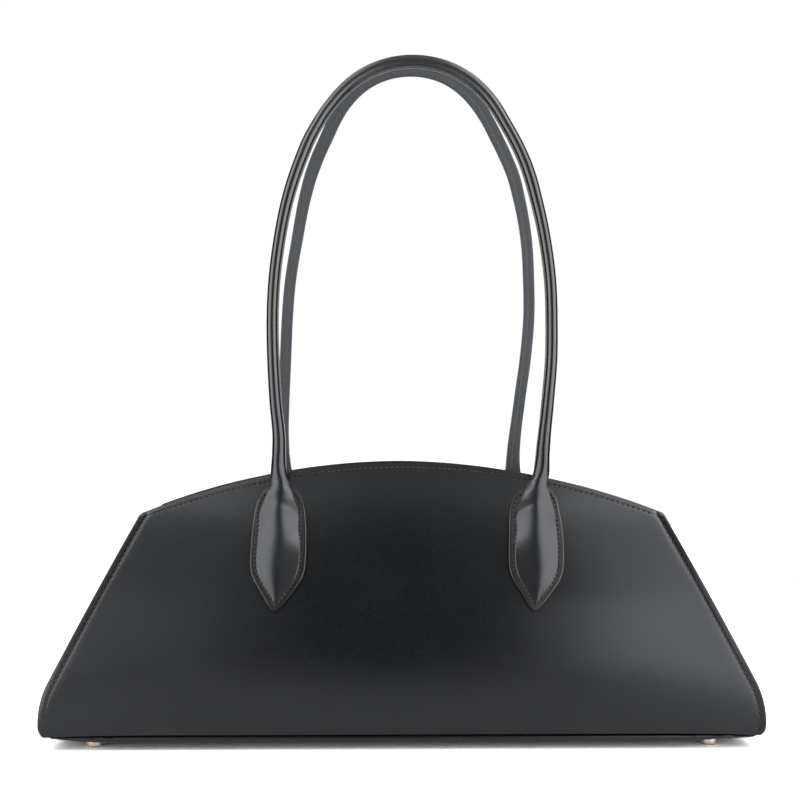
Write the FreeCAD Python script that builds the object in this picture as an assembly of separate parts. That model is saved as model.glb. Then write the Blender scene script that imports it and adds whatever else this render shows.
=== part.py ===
import FreeCAD, Part
import math
import os

os.makedirs("parts", exist_ok=True)
Vector = FreeCAD.Vector

# Outline of the bag, in millimetres, floor at Z = 0, front towards -Y
bag_width = 420.0
bag_depth = 120.0
top_width = 309.0
top_depth = 40.0
crown_height = 164.0
corner_height = 135.0
seam_height = 9.0
panel_bulge = 7.0
taper_curve = 0.8
flare_radius = 50.0
toe_radius = 7.0
toe_land = 1.0
shoulder_radius = 5.0

# Plies, from the outside inwards
panel_thickness = 1.8
stiffener_thickness = 0.8
facing_thickness = 1.2
backing_thickness = 0.6
lining_thickness = 0.8
facing_drop = 28.0
lining_lap = 4.0
ply_gap = 0.1
edge_gap = 0.3

# End gussets
flange_width = 5.0
flange_thickness = 1.2
gusset_thickness = 1.6
gusset_drop = 4.5

# Base and feet
foot_height = 3.2
foot_diameter = 10.0
foot_round = 1.0
foot_inset_x = 30.0
foot_inset_y = 14.0
shank_diameter = 4.0
washer_diameter = 9.0
washer_thickness = 0.6
base_thickness = 1.6
base_corner = 7.0
base_round = 5.0
base_rim = 5.0
board_thickness = 2.5

# Handles and their tabs
tube_diameter = 7.8
cover_thickness = 1.4
leg_spacing = 150.0
pivot_height = 152.0
widest_rise = 93.5
front_spread = 169.0
front_crown_radius = 63.0
front_crown_height = 410.0
front_crown_y = -12.0
rear_spread = 157.0
rear_crown_radius = 60.0
rear_crown_height = 415.0
rear_crown_y = 24.0
fold_angle = 120.0
swing_gap = 0.4
tab_width = 33.0
tab_length = 67.0
tab_thickness = 2.2
tab_tip_radius = 5.0
spine_radius = 5.2
spine_tip_radius = 1.2
backing_width = 24.0
backing_height = 30.0

# Magnetic snap
snap_diameter = 14.0
socket_thickness = 3.0
stud_thickness = 1.5
pin_diameter = 6.0
pin_height = 2.5
pin_gap = 0.3

# Derived sizes
flare_height = seam_height + toe_radius + toe_land
top_rise = crown_height - corner_height
top_radius = (top_width ** 2 / 4 + top_rise ** 2) / (2 * top_rise)
wall_inset = flange_width + gusset_thickness
rim_height = seam_height + base_rim
gusset_top = corner_height - gusset_drop
inner_offset = panel_thickness + ply_gap
backing_offset = inner_offset + stiffener_thickness + ply_gap
lining_offset = backing_offset + backing_thickness + ply_gap
room_offset = lining_offset + lining_thickness + ply_gap
facing_face = inner_offset + facing_thickness
tube_radius = tube_diameter / 2
reach = bag_depth


def panel_reach(x, z):
    # Distance of the panel's outer face from the middle plane
    h = (z - seam_height) / (crown_height - seam_height)
    taper = (1 - taper_curve) * h + taper_curve * h * h
    puff = 4 * panel_bulge * h * (1 - h) * (1 - (2 * x / bag_width) ** 2)
    return (bag_depth - (bag_depth - top_depth) * taper) / 2 + puff


def panel_lean(x, z):
    # Slope of the panel from upright, in radians
    return math.atan(panel_reach(x, z - 0.5) - panel_reach(x, z + 0.5))


def skin(offset, middle=0.0, half=0.51 * bag_width, low=0.0, high=1.1 * crown_height):
    # Front panel surface moved inwards by an offset, as one curved patch
    xs = [middle - half, middle, middle + half]
    zs = [low, (low + high) / 2, high]
    ys = [[offset - panel_reach(x, z) for z in zs] for x in xs]
    for row in ys:
        row[1] = 2 * row[1] - (row[0] + row[2]) / 2
    ys[1] = [2 * mid - (first + last) / 2 for first, mid, last in zip(*ys)]
    patch = Part.BezierSurface()
    patch.increase(2, 2)
    for i, x in enumerate(xs):
        for j, z in enumerate(zs):
            patch.setPole(i + 1, j + 1, Vector(x, ys[i][j], z))
    return patch.toShape()


def layer(offset, thickness, region, *span):
    # One ply of the front wall inside a region
    return skin(offset, *span).extrude(Vector(0, thickness, 0)).common(region)


def room(offset):
    # Space between the front and rear walls
    front = skin(offset).extrude(Vector(0, 2 * reach, 0))
    return front.common(across(front))


def across(shape):
    # Rear copy of a front piece
    return shape.mirror(Vector(0, 0, 0), Vector(0, 1, 0))


def other_end(shape):
    # Left copy of a right piece
    return shape.mirror(Vector(0, 0, 0), Vector(1, 0, 0))


def prism(edges):
    # Solid through the whole depth over a closed outline drawn in X and Z
    face = Part.Face(Part.Wire(Part.__sortEdges__(edges)))
    face.translate(Vector(0, -reach, 0))
    return face.extrude(Vector(0, 2 * reach, 0))


def flat(x, z):
    return Vector(x, 0, z)


def side_block(inset):
    # Everything between the two side edges, moved inwards by an inset
    cx = bag_width / 2 - flare_radius
    dx = top_width / 2 - cx
    dz = corner_height - flare_height
    lean = math.atan2(dz, dx) - math.acos(flare_radius / math.hypot(dx, dz))
    r = flare_radius - inset
    foot = flat(cx + r, 0)
    start = flat(cx + r, flare_height)
    middle = flat(cx + r * math.cos(lean / 2), flare_height + r * math.sin(lean / 2))
    end = flat(cx + r * math.cos(lean), flare_height + r * math.sin(lean))
    rise = (1.2 * crown_height - end.z) / math.cos(lean)
    head = end + flat(-math.sin(lean), math.cos(lean)) * rise
    half = [Part.makeLine(flat(0, 0), foot), Part.makeLine(foot, start)]
    half.append(Part.Arc(start, middle, end).toShape())
    half.append(Part.makeLine(end, head))
    half.append(Part.makeLine(head, flat(0, head.z)))
    return prism(half + [other_end(edge) for edge in half])


def top_drum(inset):
    # Everything under the arched top edge, moved down by an inset
    low = Vector(0, -reach, crown_height - top_radius)
    return Part.makeCylinder(top_radius - inset, 2 * reach, low, Vector(0, 1, 0))


def slab(low, high, x_low=-bag_width, x_high=bag_width):
    # Level slice of space
    return Part.makeBox(x_high - x_low, 2 * reach, high - low, Vector(x_low, -reach, low))


def long_edges(shape, low, high):
    # Edges running front to back between two heights
    found = []
    for edge in shape.Edges:
        ends = [vertex.Point for vertex in edge.Vertexes]
        if len(ends) == 2 and (ends[0] - ends[1]).Length > reach:
            if low < ends[0].z < high and low < ends[1].z < high:
                found.append(edge)
    return found


def save(shape, name):
    if shape.ShapeType != "Solid" and len(shape.Solids) == 1:
        shape = shape.Solids[0]
    shape.exportStep("parts/" + name + ".step")


def save_pair(shape, name):
    # Front and rear copies
    save(shape, "front_" + name)
    save(across(shape), "rear_" + name)


# Outer panels
body_block = side_block(0).common(top_drum(0)).common(slab(seam_height, 1.2 * crown_height))
toes = long_edges(body_block, seam_height - 0.5, seam_height + 0.5)
body_block = body_block.makeFillet(toe_radius, toes)
shoulders = long_edges(body_block, corner_height - 0.5, corner_height + 0.5)
body_block = body_block.makeFillet(shoulder_radius, shoulders)
save_pair(layer(0, panel_thickness, body_block), "panel")

# Board stiffeners behind the panels, below the mouth facings
inner_block = side_block(wall_inset + edge_gap)
core_block = inner_block.common(slab(rim_height + edge_gap, 1.2 * crown_height))
stiffener_block = core_block.common(top_drum(facing_drop + edge_gap))
save_pair(layer(inner_offset, stiffener_thickness, stiffener_block), "stiffener")

# Leather facings round the mouth
facing_block = inner_block.common(top_drum(edge_gap).cut(top_drum(facing_drop)))
facing_block = facing_block.common(slab(corner_height - facing_drop, 1.2 * crown_height))
front_facing = layer(inner_offset, facing_thickness, facing_block)
save_pair(front_facing, "facing")

# Fabric linings, lapped over the lower edge of the facings
lining_block = core_block.common(top_drum(facing_drop - lining_lap))
save_pair(layer(lining_offset, lining_thickness, lining_block), "lining")

# End gussets, an inset wall with a flange sewn to each panel
right_half = slab(seam_height, gusset_top, 0, bag_width)
wall_block = side_block(flange_width).cut(side_block(wall_inset)).common(right_half)
gusset = wall_block.common(room(inner_offset + flange_thickness / 2))
flange_block = body_block.common(side_block(edge_gap)).common(right_half)
flange_block = flange_block.cut(side_block(flange_width + gusset_thickness / 2))
flange = layer(inner_offset, flange_thickness, flange_block)
gusset = gusset.fuse([flange, across(flange)]).removeSplitter()
save(gusset, "right_gusset")
save(other_end(gusset), "left_gusset")

# Gusset linings
lining_inset = wall_inset + ply_gap
end_block = side_block(lining_inset).cut(side_block(lining_inset + lining_thickness))
end_block = end_block.common(slab(rim_height + edge_gap, gusset_top - edge_gap, 0, bag_width))
gusset_lining = end_block.common(room(room_offset))
save(gusset_lining, "right_gusset_lining")
save(other_end(gusset_lining), "left_gusset_lining")


def tray(inset, low, high, corner, rounding):
    # Box with rounded corners and a rounded lower edge
    lift = max(0.0, rim_height - flare_height)
    end = bag_width / 2 - flare_radius + math.sqrt(flare_radius ** 2 - lift ** 2)
    half_x = end - wall_inset - edge_gap - inset
    half_y = panel_reach(bag_width / 2, rim_height) - inner_offset - inset
    block = Part.makeBox(2 * half_x, 2 * half_y, high - low, Vector(-half_x, -half_y, low))
    uprights = [edge for edge in block.Edges if abs(edge.BoundBox.ZLength) > 0.5 * (high - low)]
    block = block.makeFillet(corner, uprights)
    if rounding > 0:
        lower = [edge for edge in block.Edges if edge.BoundBox.ZMax < low + 0.01]
        block = block.makeFillet(rounding, lower)
    return block


def at_feet(radius, low, high):
    # The same round at all four feet
    rounds = []
    for side in (-1, 1):
        for end in (-1, 1):
            spot = Vector(end * (bag_width / 2 - foot_inset_x), side * (bag_depth / 2 - foot_inset_y), low)
            rounds.append(Part.makeCylinder(radius, high - low, spot))
    return Part.makeCompound(rounds)


# Base tray, its board, washers and lining
floor_height = foot_height + base_thickness
board_low = floor_height + ply_gap
board_high = board_low + board_thickness
washer_low = board_high + ply_gap
washer_high = washer_low + washer_thickness
cover_low = washer_high + ply_gap
shank_hole = shank_diameter / 2 + ply_gap
board_inset = base_round + edge_gap
holes = at_feet(shank_hole, 0, crown_height)
base = tray(0, foot_height, rim_height, base_corner, base_round)
inner_corner = base_corner - base_thickness
inner_round = base_round - base_thickness
base = base.cut(tray(base_thickness, floor_height, crown_height, inner_corner, inner_round))
save(base.cut(holes), "base_panel")
board = tray(board_inset, board_low, board_high, inner_corner, 0)
save(board.cut(holes), "base_board")
washers = at_feet(washer_diameter / 2, washer_low, washer_high)
save(washers.cut(holes), "foot_washers")
cover_inset = base_thickness + edge_gap
save(tray(cover_inset, cover_low, cover_low + lining_thickness, inner_corner, 0), "base_lining")

# Feet, a turned stud with its shank through the base and the board
feet = []
for stud in at_feet(foot_diameter / 2, 0, foot_height - ply_gap).Solids:
    rim = [edge for edge in stud.Edges if edge.BoundBox.ZMax < 0.01]
    stud = stud.makeFillet(foot_round, rim)
    spot = Vector(stud.BoundBox.Center.x, stud.BoundBox.Center.y, foot_height / 2)
    shank = Part.makeCylinder(shank_diameter / 2, washer_high - foot_height / 2, spot)
    feet.append(stud.fuse(shank).removeSplitter())
save(Part.makeCompound(feet), "feet")

# Handle tabs, a leaf with a raised spine under the end of each handle
leg_x = leg_spacing / 2
stand_off = tube_radius + swing_gap + ply_gap
pivot_y = -panel_reach(leg_x, pivot_height) - stand_off / math.cos(panel_lean(leg_x, pivot_height))
pivot = Vector(leg_x, pivot_y, pivot_height)
tab_high = pivot_height - stand_off
tab_low = tab_high - tab_length
half_tab = tab_width / 2


def leaf_point(across_share, up_share):
    return flat(leg_x + across_share * half_tab, tab_low + up_share * tab_length)


leaf_edges = []
for s in (-1, 1):
    tip, cheek = leaf_point(0, 0), leaf_point(s, 0.4)
    leaf_edges.append(Part.Arc(tip, leaf_point(s * 0.7, 0.185), cheek).toShape())
    hip, neck = leaf_point(s, 0.6), leaf_point(s * 0.62, 1)
    leaf_edges.append(Part.makeLine(cheek, hip))
    leaf_edges.append(Part.Arc(hip, leaf_point(s * 0.92, 0.84), neck).toShape())
leaf_edges.append(Part.makeLine(leaf_point(-0.62, 1), leaf_point(0.62, 1)))
leaf = prism(leaf_edges)
leaf = leaf.makeFillet(tab_tip_radius, long_edges(leaf, tab_low - 0.5, tab_low + 0.5))
tab_span = (leg_x, tab_width, tab_low - tab_thickness, tab_high + tab_thickness)
tab = layer(-ply_gap - tab_thickness, tab_thickness, leaf, *tab_span)

# The spine is a cone lying on the panel, cut away where the handle folds down
spine_low = tab_low + 2 * tab_tip_radius
spine_base = Vector(leg_x, -panel_reach(leg_x, spine_low), spine_low)
spine_head = Vector(leg_x, -panel_reach(leg_x, tab_high), tab_high)
spine_axis = spine_head - spine_base
spine = Part.makeCone(spine_tip_radius, spine_radius, spine_axis.Length, spine_base, spine_axis)
spine = spine.cut(skin(-ply_gap - tab_thickness / 2, *tab_span).extrude(Vector(0, reach, 0)))
fold = math.radians(fold_angle)
fold_line = Vector(0, -math.sin(fold), math.cos(fold))
swing_radius = tube_radius + swing_gap
swing_room = Part.makeCylinder(swing_radius, tab_length, pivot, fold_line)
swing_room = swing_room.fuse(Part.makeSphere(swing_radius, pivot))
right_tab = tab.fuse(spine).removeSplitter().cut(swing_room)
save_pair(right_tab, "right_tab")
save_pair(other_end(right_tab), "left_tab")

# Patches behind the panels that take the pull of the tabs
patch_corner = leg_x + backing_width / 2
patch_drum = top_radius - facing_drop - edge_gap
patch_high = crown_height - top_radius + math.sqrt(patch_drum ** 2 - patch_corner ** 2)
patch_low = patch_high - backing_height
patch_block = slab(patch_low, patch_high, leg_x - backing_width / 2, leg_x + backing_width / 2)
patch_span = (leg_x, backing_width, patch_low - backing_thickness, patch_high + backing_thickness)
patch = layer(backing_offset, backing_thickness, patch_block, *patch_span)
patches = [patch, other_end(patch), across(patch), across(other_end(patch))]
save(Part.makeCompound(patches), "tab_backings")


def bow(radius, base_y, spread, crown_radius, crown_z, crown_y):
    # Round bar along five arcs from one pivot over the crown to the other
    up = Vector(0, crown_y - base_y, crown_z - pivot_height)
    rise = up.Length
    up.normalize()
    turn = Vector(1, 0, 0).cross(up)
    half = spread / 2
    head = rise - widest_rise
    shoulder_bend = (half ** 2 + head ** 2 - 2 * head * crown_radius) / (2 * (half - crown_radius))
    leg_bend = (widest_rise ** 2 + (half - leg_x) ** 2) / (2 * (half - leg_x))
    leg_turn = math.asin(widest_rise / leg_bend)
    crown_turn = math.atan2(head - crown_radius, shoulder_bend - half)

    def piece(u, v, bend, start, sweep):
        # Length of bar bent about a centre given along X and up the handle
        centre = Vector(0, base_y, pivot_height) + Vector(1, 0, 0) * u + up * v
        out = Vector(1, 0, 0) * math.cos(start) + up * math.sin(start)
        along = turn.cross(out)
        ring = Part.Circle(centre + out * bend, along, radius).toShape()
        disc = Part.Face(Part.Wire(ring))
        return disc.revolve(centre, turn, math.degrees(sweep))

    leg = piece(half - leg_bend, widest_rise, leg_bend, -leg_turn, leg_turn)
    shoulder = piece(half - shoulder_bend, widest_rise, shoulder_bend, 0, crown_turn)
    arch = piece(0, rise - crown_radius, crown_radius, crown_turn, math.pi - 2 * crown_turn)
    bar = leg.fuse([shoulder, arch, other_end(shoulder), other_end(leg)])
    return bar.removeSplitter()


def save_handle(name, base_y, *arch):
    # Leather cover with closed round ends over a cord core
    ends = [Part.makeSphere(tube_radius, Vector(s * leg_x, base_y, pivot_height)) for s in (-1, 1)]
    outer = bow(tube_radius, base_y, *arch).fuse(ends)
    bore = tube_radius - cover_thickness
    save(outer.cut(bow(bore, base_y, *arch)), name + "_cover")
    save(bow(bore - ply_gap, base_y, *arch), name + "_core")


save_handle("front_handle", pivot_y, front_spread, front_crown_radius, front_crown_height, front_crown_y)
save_handle("rear_handle", -pivot_y, rear_spread, rear_crown_radius, rear_crown_height, rear_crown_y)

# Magnetic snap, a socket on the front facing and a stud on the rear one
snap_z = crown_height - (facing_drop - lining_lap) / 2
snap_lean = panel_lean(0, snap_z)
inward = Vector(0, math.cos(snap_lean), -math.sin(snap_lean))
seat = Vector(0, facing_face - panel_reach(0, snap_z), snap_z) + inward * ply_gap
socket = Part.makeCylinder(snap_diameter / 2, socket_thickness, seat, inward)
pin_floor = seat + inward * (socket_thickness - pin_height + pin_gap)
pin_hole = Part.makeCylinder(pin_diameter / 2 + pin_gap, pin_height, pin_floor, inward)
save(socket.cut(pin_hole), "snap_socket")
stud = Part.makeCylinder(snap_diameter / 2, stud_thickness, seat, inward)
stud = stud.fuse(Part.makeCylinder(pin_diameter / 2, pin_height + stud_thickness, seat, inward))
save(across(stud.removeSplitter()), "snap_stud")
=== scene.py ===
import math

import bmesh
import bpy
import numpy as np
from mathutils import Matrix, Vector


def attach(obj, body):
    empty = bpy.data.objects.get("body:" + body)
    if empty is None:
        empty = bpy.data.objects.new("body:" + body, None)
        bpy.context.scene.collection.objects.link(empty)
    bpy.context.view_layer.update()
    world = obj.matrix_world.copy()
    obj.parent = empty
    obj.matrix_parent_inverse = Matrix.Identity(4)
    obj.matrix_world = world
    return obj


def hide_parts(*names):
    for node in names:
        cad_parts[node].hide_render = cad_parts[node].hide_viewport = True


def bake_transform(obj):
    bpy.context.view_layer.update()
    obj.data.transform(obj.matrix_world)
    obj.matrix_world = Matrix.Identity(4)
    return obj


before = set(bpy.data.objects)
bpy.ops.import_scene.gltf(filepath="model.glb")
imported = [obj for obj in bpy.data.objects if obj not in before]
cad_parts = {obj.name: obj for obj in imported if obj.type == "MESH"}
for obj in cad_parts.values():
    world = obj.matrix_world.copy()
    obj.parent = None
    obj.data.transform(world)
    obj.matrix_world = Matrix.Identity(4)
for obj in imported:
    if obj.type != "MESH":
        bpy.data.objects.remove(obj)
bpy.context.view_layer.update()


# Base tray: a shallow tray of smooth black calf over a board, its edges turned up inside the walls.
# The lower edge is rolled, and the two ends are drawn up to meet the side seams.
# Lengths are written in millimetres and turned into metres where a mesh is made.
MM = 0.001


class Shade:
    """One value in a material's nodes: sums on it add Math nodes, and node() adds any other node."""

    def __init__(self, tree, socket=None):
        self.tree = tree
        self.socket = socket

    def node(self, kind, settings=None, sockets=None, output=0):
        made = self.tree.nodes.new(kind)
        for key, value in (settings or {}).items():
            setattr(made, key, value)
        for key, value in (sockets or {}).items():
            if isinstance(value, Shade):
                self.tree.links.new(value.socket, made.inputs[key])
            else:
                made.inputs[key].default_value = value
        return Shade(self.tree, made.outputs[output] if made.outputs else None)

    def sum(self, operation, first, second=0.0):
        return self.node("ShaderNodeMath", {"operation": operation}, {0: first, 1: second})

    def __add__(self, other):
        return self.sum("ADD", self, other)

    def __sub__(self, other):
        return self.sum("SUBTRACT", self, other)

    def __mul__(self, other):
        return self.sum("MULTIPLY", self, other)

    def __radd__(self, other):
        return self.sum("ADD", other, self)

    def __rsub__(self, other):
        return self.sum("SUBTRACT", other, self)

    def __rmul__(self, other):
        return self.sum("MULTIPLY", other, self)


def finish_called(name):
    # An empty material, the start of its nodes and the place on the piece
    material = bpy.data.materials.new(name)
    material.use_nodes = True
    material.node_tree.nodes.clear()
    shade = Shade(material.node_tree)
    return material, shade, shade.node("ShaderNodeTexCoord", output=3)


def noise(shade, where, scale, detail, roughness=0.5):
    # Soft noise, finer with a higher scale
    sockets = {"Vector": where, "Scale": scale, "Detail": detail, "Roughness": roughness}
    return shade.node("ShaderNodeTexNoise", None, sockets)


def surface(shade, strength, depth, height, sockets):
    # Closes a finish with its relief and its shader
    relief = {"Strength": strength, "Distance": depth * MM, "Height": height}
    normal = shade.node("ShaderNodeBump", None, relief)
    shader = shade.node("ShaderNodeBsdfPrincipled", None, {**sockets, "Normal": normal})
    shade.node("ShaderNodeOutputMaterial", None, {"Surface": shader})


def tinted(shade, first, second, share):
    # One colour passing into another
    settings = {"data_type": "RGBA"}
    sockets = {0: share, 6: (*first, 1.0), 7: (*second, 1.0)}
    return shade.node("ShaderNodeMix", settings, sockets, output=2)


def by_height(shade, where, low, high, first, last):
    # A value that passes from its first to its last amount between two heights
    z = shade.node("ShaderNodeSeparateXYZ", None, {0: where}, output=2)
    return shade.node("ShaderNodeMapRange", None, {0: z, 1: low * MM, 2: high * MM, 3: first, 4: last})


def calf(name, dark, light, roughness, pore, depth, gloss=0.5, dulled=0.0, footed=0.0, waxed=0.0):
    # Smooth dyed leather: clouded colour, fine pores and creases, and a surface of uneven gloss.
    # A handle is dulled by wrinkles at its crown and by wear at its foot, and waxed above the foot
    material, shade, where = finish_called(name)
    cloud = noise(shade, where, 22.0, 4.0)
    rub = noise(shade, where, 160.0, 3.0)
    grain = noise(shade, where, 900.0, 2.0)
    cell = {"Vector": where, "Scale": 1 / (pore * MM)}
    pores = shade.node("ShaderNodeTexVoronoi", {"feature": "F1"}, cell)
    creases = noise(shade, where, 0.35 / (pore * MM), 5.0, 0.65)
    rough = roughness - 0.05 + cloud * 0.06 + rub * 0.04
    if dulled:
        rough = rough + by_height(shade, where, 330, 400, 0.0, dulled)
    if footed:
        rough = rough + by_height(shade, where, 135, 170, footed, 0.0)
    surface(shade, 0.22, depth, pores * 0.45 + creases, {
        "Base Color": tinted(shade, dark, light, cloud * 0.4 + grain * 1.8 - 0.6),
        "Roughness": rough,
        "Specular IOR Level": gloss,
        "Specular Tint": (0.955, 0.98, 1.02, 1.0),
        "Coat Weight": by_height(shade, where, 150, 230, 0.0, waxed) if waxed else 0.0,
        "Coat Roughness": 0.16,
    })
    return material


def lay_down():
    # Leaves no piece that the next step acts on
    bpy.ops.object.select_all(action="DESELECT")


def take_up(piece):
    # Makes one piece the only one that the next step acts on
    lay_down()
    bpy.context.view_layer.objects.active = piece
    piece.select_set(True)


def worked(piece, kind, **settings):
    # One modifier, set and applied
    take_up(piece)
    step = piece.modifiers.new(kind.title(), kind)
    for key, value in settings.items():
        setattr(step, key, value)
    bpy.ops.object.modifier_apply(modifier=step.name)


def rounded(piece, size, segments, wanted):
    # Bevels the edges whose middle and run, in millimetres, are wanted
    bpy.context.tool_settings.mesh_select_mode = (False, True, False)
    bpy.ops.mesh.select_all(action="DESELECT")
    mesh = bmesh.from_edit_mesh(piece.data)
    for edge in mesh.edges:
        low, high = (corner.co / MM for corner in edge.verts)
        edge.select_set(wanted((low + high) / 2, high - low))
    bmesh.update_edit_mesh(piece.data)
    bpy.ops.mesh.bevel(offset=size * MM, segments=segments, affect="EDGES")


def open_top(piece):
    # Takes the upper faces off a closed form
    bpy.context.tool_settings.mesh_select_mode = (False, False, True)
    bpy.ops.mesh.select_all(action="DESELECT")
    mesh = bmesh.from_edit_mesh(piece.data)
    for face in mesh.faces:
        face.select_set(face.normal.z > 0.5)
    bmesh.update_edit_mesh(piece.data)
    bpy.ops.mesh.delete(type="FACE")


def points_of(piece):
    # The points of a mesh as rows of millimetres
    places = np.empty(3 * len(piece.data.vertices))
    piece.data.vertices.foreach_get("co", places)
    return places.reshape(-1, 3) / MM


def put_points(piece, places):
    piece.data.vertices.foreach_set("co", (places * MM).ravel())
    piece.data.update()


def smooth_over(piece, degrees):
    take_up(piece)
    bpy.ops.object.shade_smooth_by_angle(angle=math.radians(degrees))


def ramp(value, start, run):
    # From 0 at a start to 1 after a run
    return np.clip((value - start) / run, 0, 1)


def fitted(piece, slot, *nodes):
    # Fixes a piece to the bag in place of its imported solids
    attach(piece, "bag")
    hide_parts(*nodes)


base_length = 406.2
base_width = 114.6
base_bottom = 3.2
base_rim = 14.0
base_corner = 4.5
base_roll = 3.0
base_leather_thick = 1.6
edge_lift, edge_start, edge_run = 1.0, 45.0, 8.0
lip_bulge, lip_top, lip_run = 2.1, 9.0, 1.1
lip_start, lip_spread = 50.0, 4.0
end_start, end_run = 152.0, 51.1
flare, flare_start, flare_run = 3.4, 190.0, 10.0
# How far the lower edge is drawn up at the ends: place along the base and lift
end_lift = np.array([
    (-203.1, 4.0), (-201, 3.6), (-196.6, 2.6), (-191, 1.6), (-184, 1.15), (-180, 0.95), (-176, 0.7),
    (-172, 0.35), (-166, 0), (166, 0), (172, 0.6), (176, 1.05), (180, 1.35), (184, 1.55), (191, 1.85),
    (196.6, 2.1), (201, 2.8), (203.1, 3.1),
])
lip_cuts = 6.6, 7.2, 7.6, 7.9, 8.2, 8.5, 8.8, 9.4
width_cuts = -50, -46, -38, 0, 38, 46, 50

calf_black = (0.0026, 0.003, 0.0034), (0.0092, 0.0098, 0.0111)
base_calf = calf("base_calf", *calf_black, 0.26, 0.32, 0.03)
lay_down()
bpy.ops.mesh.primitive_cube_add(size=1, location=(0, 0, (base_bottom + base_rim) / 2 * MM))
base = bpy.context.object
base.name = "base_tray"
base.scale = (base_length * MM, base_width * MM, (base_rim - base_bottom) * MM)
bpy.ops.object.transform_apply(location=True, rotation=False, scale=True)
bpy.ops.object.mode_set(mode="EDIT")
rounded(base, base_corner, 8, lambda middle, run: abs(run.z) > 5)
rounded(base, base_roll, 7, lambda middle, run: abs(middle.z - base_bottom) < 0.01)
end_cuts = np.concatenate([np.linspace(6, 168, 28), np.linspace(170, 201, 16)])
cuts = [((x, 0, 0), (1, 0, 0)) for x in (*-end_cuts, 0, *end_cuts)]
cuts += [((0, y, 0), (0, 1, 0)) for y in width_cuts]
cuts += [((0, 0, z), (0, 0, 1)) for z in lip_cuts]
for place, way in cuts:
    bpy.ops.mesh.select_all(action="SELECT")
    bpy.ops.mesh.bisect(plane_co=[step * MM for step in place], plane_no=way)
open_top(base)
bpy.ops.object.mode_set(mode="OBJECT")
spots = points_of(base)
low_share = np.clip((base_rim - spots[:, 2]) / (base_rim - base_bottom), 0, 1)
lift = np.interp(spots[:, 0], *end_lift.T)
ends = ramp(np.abs(spots[:, 0]), end_start, end_run)
brink = ramp(np.abs(spots[:, 1]), edge_start, edge_run)
spots[:, 2] += low_share * (edge_lift * brink + lift * np.maximum(brink, ends ** 6))
out = np.clip((lip_top - spots[:, 2]) / lip_run, 0, 1)
lip = lip_bulge * out * out * (3 - 2 * out)
spots[:, 1] += np.sign(spots[:, 1]) * lip * ramp(np.abs(spots[:, 1]), lip_start, lip_spread)
spots[:, 0] += np.sign(spots[:, 0]) * flare * out * ramp(np.abs(spots[:, 0]), flare_start, flare_run)
put_points(base, spots)
worked(base, "SOLIDIFY", thickness=base_leather_thick * MM, offset=-1.0)
smooth_over(base, 50)
base.data.materials.append(base_calf)
fitted(base, "base_leather", "base_panel")


# Base board and foot fixings: a grey fibre board inside the tray, and a steel washer over each shank.
# They are shut in between the tray and the lining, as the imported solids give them.
def flecked(name, dark, light, roughness, uneven, scale, detail, strength, depth, metallic=0.0):
    # A finish whose colour, gloss and relief all follow one fine noise
    material, shade, where = finish_called(name)
    fleck = noise(shade, where, scale, detail)
    surface(shade, strength, depth, fleck, {
        "Base Color": tinted(shade, dark, light, fleck),
        "Metallic": metallic,
        "Roughness": roughness + fleck * uneven,
    })
    return material


def metal(name, tone, worn, roughness):
    # Turned and plated metal with a trace of polishing marks
    return flecked(name, tone, worn, roughness, 0.1, 700.0, 3.0, 0.15, 0.03, metallic=1.0)


def dress(material, *nodes):
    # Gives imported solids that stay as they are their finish
    for node in nodes:
        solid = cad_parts[node]
        solid.data.materials.clear()
        solid.data.materials.append(material)


fibre_board = flecked(
    "fibre_board", (0.09, 0.085, 0.08), (0.16, 0.15, 0.14), 0.75, 0.2, 900.0, 4.0, 0.4, 0.1
)
washer_steel = metal("washer_steel", (0.55, 0.55, 0.56), (0.42, 0.42, 0.43), 0.3)
dress(fibre_board, "base_board")
dress(washer_steel, "foot_washers")


# Feet: four turned metal studs with a rounded sole, plated pale gold.
# Each has a shank through the base that is peened over its washer.
foot_radius = 5.0
foot_height = 4.6
foot_round = 1.1
foot_neck = 0.5
foot_x, foot_y = 180.0, 46.0
foot_places = [(end * foot_x, side * foot_y) for side in (-1, 1) for end in (-1, 1)]
foot_names = ["front_left_foot", "front_right_foot", "rear_left_foot", "rear_right_foot"]

pale_gold = metal("pale_gold", (0.9, 0.74, 0.58), (0.8, 0.64, 0.5), 0.36)
for name, (x, y) in zip(foot_names, foot_places):
    lay_down()
    spot = (x * MM, y * MM, foot_height / 2 * MM)
    bpy.ops.mesh.primitive_cylinder_add(
        vertices=48, radius=foot_radius * MM, depth=foot_height * MM, location=spot
    )
    foot = bpy.context.object
    foot.name = name
    bpy.ops.object.transform_apply(location=True, rotation=False, scale=False)
    bpy.ops.object.mode_set(mode="EDIT")
    rounded(foot, foot_round, 5, lambda middle, run: middle.z < 0.01)
    rounded(foot, foot_neck, 3, lambda middle, run: middle.z > foot_height - 0.01)
    bpy.ops.object.mode_set(mode="OBJECT")
    smooth_over(foot, 35)
    foot.data.materials.append(pale_gold)
    fitted(foot, "gold_metal", "feet")


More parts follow.
